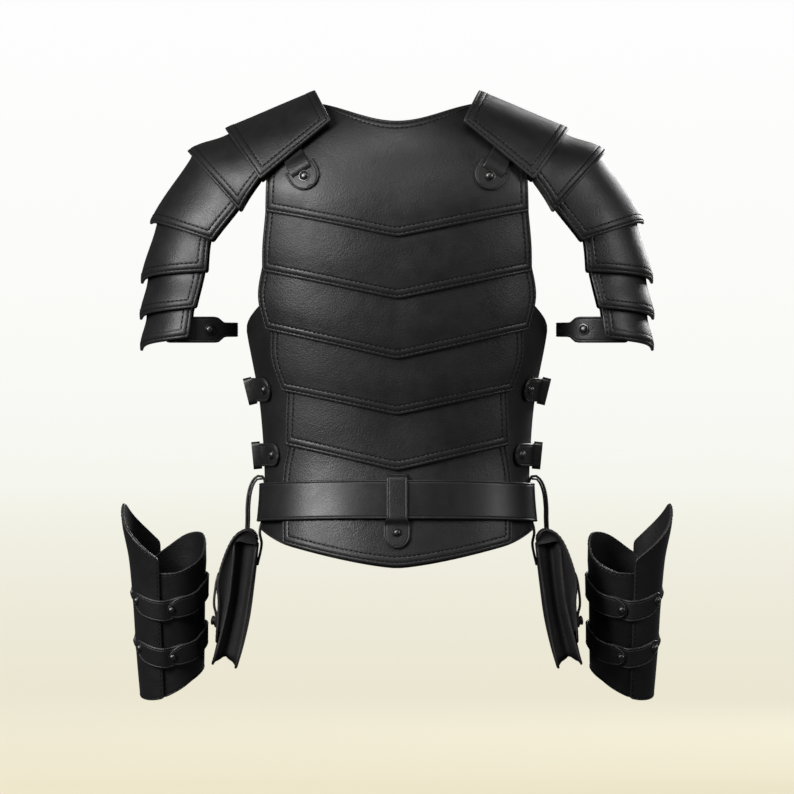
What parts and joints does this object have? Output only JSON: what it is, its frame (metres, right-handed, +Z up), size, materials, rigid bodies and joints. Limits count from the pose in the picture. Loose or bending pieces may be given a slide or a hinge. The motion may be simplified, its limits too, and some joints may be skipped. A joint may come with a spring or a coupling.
{
  "type": "lamellar armour, a worn set with belt, pouches and bracers",
  "caption": "Worn lamellar leather armour: overlapping chevron lames front and back, shoulder guards, buckled sides, belt with hanging pouches, and strapped forearm bracers.",
  "frame": {"origin": "midway between the wearer's shoulders, at the height where the shoulder seams carry the armour", "axes": "+Z up along the wearer's spine, +Y to the wearer's front, +X to the wearer's right hand"},
  "size_m": [0.6234, 0.2536, 0.6906],
  "materials": {
    "armour_leather": "satin black, fine grain",
    "belt_leather": "polished black",
    "strap_leather": "satin black",
    "hardware": "blackened metal, half gloss"
  },
  "bodies": {
    "root": {"back_panel": "armour_leather", "back_yoke": "armour_leather", "back_lame_2": "armour_leather", "back_lame_3": "armour_leather", "back_lame_4": "armour_leather", "back_lame_5": "armour_leather", "back_tail": "armour_leather", "left_shoulder_tab_back": "strap_leather", "right_shoulder_tab_back": "strap_leather", "front_panel": "armour_leather", "front_yoke": "armour_leather", "front_lame_2": "armour_leather", "front_lame_3": "armour_leather", "front_lame_4": "armour_leather", "front_lame_5": "armour_leather", "front_tail": "armour_leather", "left_shoulder_tab_front": "strap_leather", "right_shoulder_tab_front": "strap_leather", "left_side_strap_upper": "strap_leather", "right_side_strap_upper": "strap_leather", "left_side_buckle_upper": "hardware", "right_side_buckle_upper": "hardware", "left_side_strap_lower": "strap_leather", "right_side_strap_lower": "strap_leather", "left_side_buckle_lower": "hardware", "right_side_buckle_lower": "hardware", "belt": "belt_leather", "belt_buckle": "hardware", "belt_loop_back": "belt_leather", "left_shoulder_lame_1": "armour_leather", "right_shoulder_lame_1": "armour_leather", "left_shoulder_lame_2": "armour_leather", "right_shoulder_lame_2": "armour_leather", "left_shoulder_lame_3": "armour_leather", "right_shoulder_lame_3": "armour_leather", "left_shoulder_lame_4": "armour_leather", "right_shoulder_lame_4": "armour_leather", "left_shoulder_lame_5": "armour_leather", "right_shoulder_lame_5": "armour_leather", "left_shoulder_lame_6": "armour_leather", "right_shoulder_lame_6": "armour_leather", "left_arm_strap": "strap_leather", "right_arm_strap": "strap_leather", "left_bracer_shell": "armour_leather", "right_bracer_shell": "armour_leather", "left_bracer_tongue": "armour_leather", "right_bracer_tongue": "armour_leather", "left_bracer_strap_upper": "strap_leather", "right_bracer_strap_upper": "strap_leather", "left_bracer_strap_lower": "strap_leather", "right_bracer_strap_lower": "strap_leather", "left_pouch_body": "armour_leather", "right_pouch_body": "armour_leather", "left_pouch_flap": "armour_leather", "right_pouch_flap": "armour_leather", "left_pouch_strap": "strap_leather", "right_pouch_strap": "strap_leather", "left_pouch_hanger": "strap_leather", "right_pouch_hanger": "strap_leather"}
  },
  "joints": []
}
